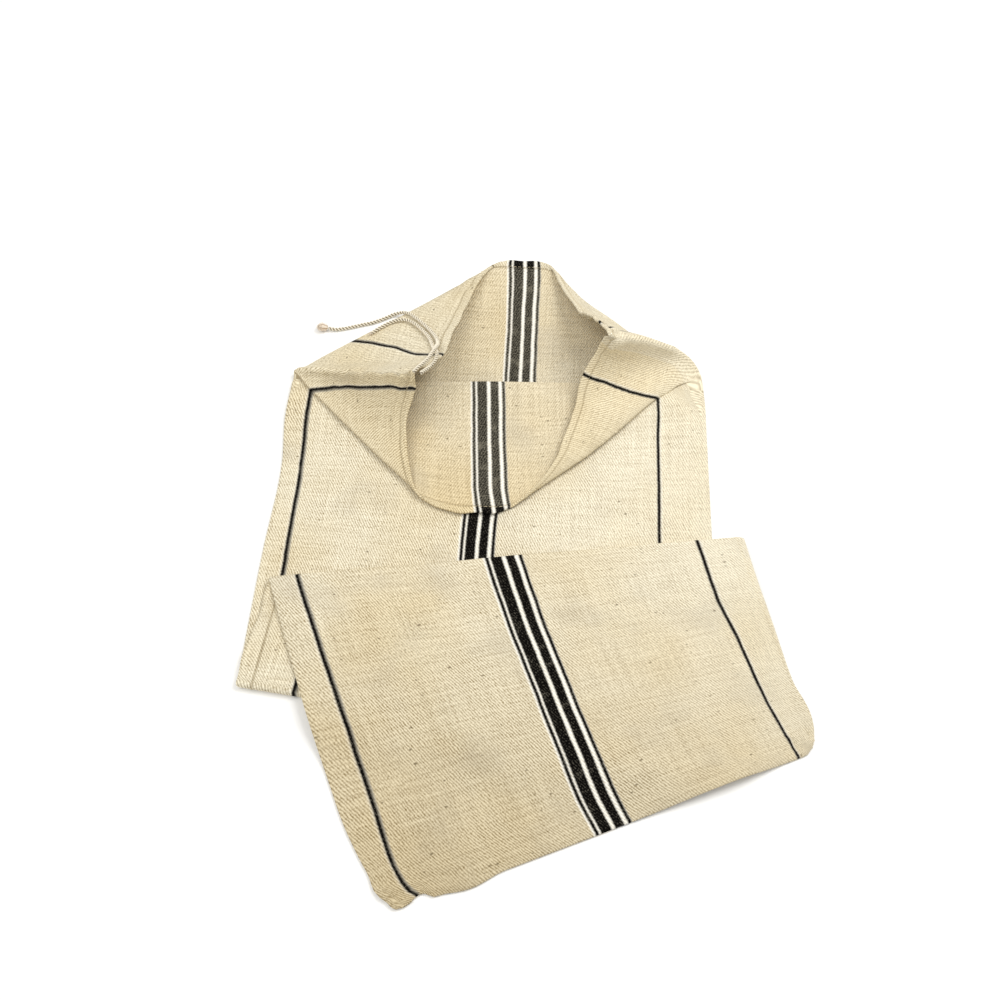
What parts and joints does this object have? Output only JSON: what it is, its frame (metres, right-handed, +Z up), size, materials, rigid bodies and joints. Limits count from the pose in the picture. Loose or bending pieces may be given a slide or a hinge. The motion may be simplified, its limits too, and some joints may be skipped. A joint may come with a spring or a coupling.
{
  "type": "striped grain sack",
  "caption": "Striped woven grain sack lying on its back panel, its mouth opened out flat and its length folded up over itself and down again, with a cord tie sewn at one corner of the mouth.",
  "frame": {"origin": "on the floor, under the middle of the lying sack's box without the tie", "axes": "+X across the sack to the right as it is looked at from its folded end, +Y towards the opened mouth, +Z up"},
  "size_m": [0.6755, 0.8786, 0.1079],
  "materials": {
    "cloth": "undyed hemp and cotton twill with woven black stripes, matt",
    "cord": "twisted undyed cotton cord, matt"
  },
  "bodies": {
    "root": {"sack_cloth": "cloth", "tie_long": "cord", "tie_short": "cord", "tie_knot": "cord"}
  },
  "joints": []
}
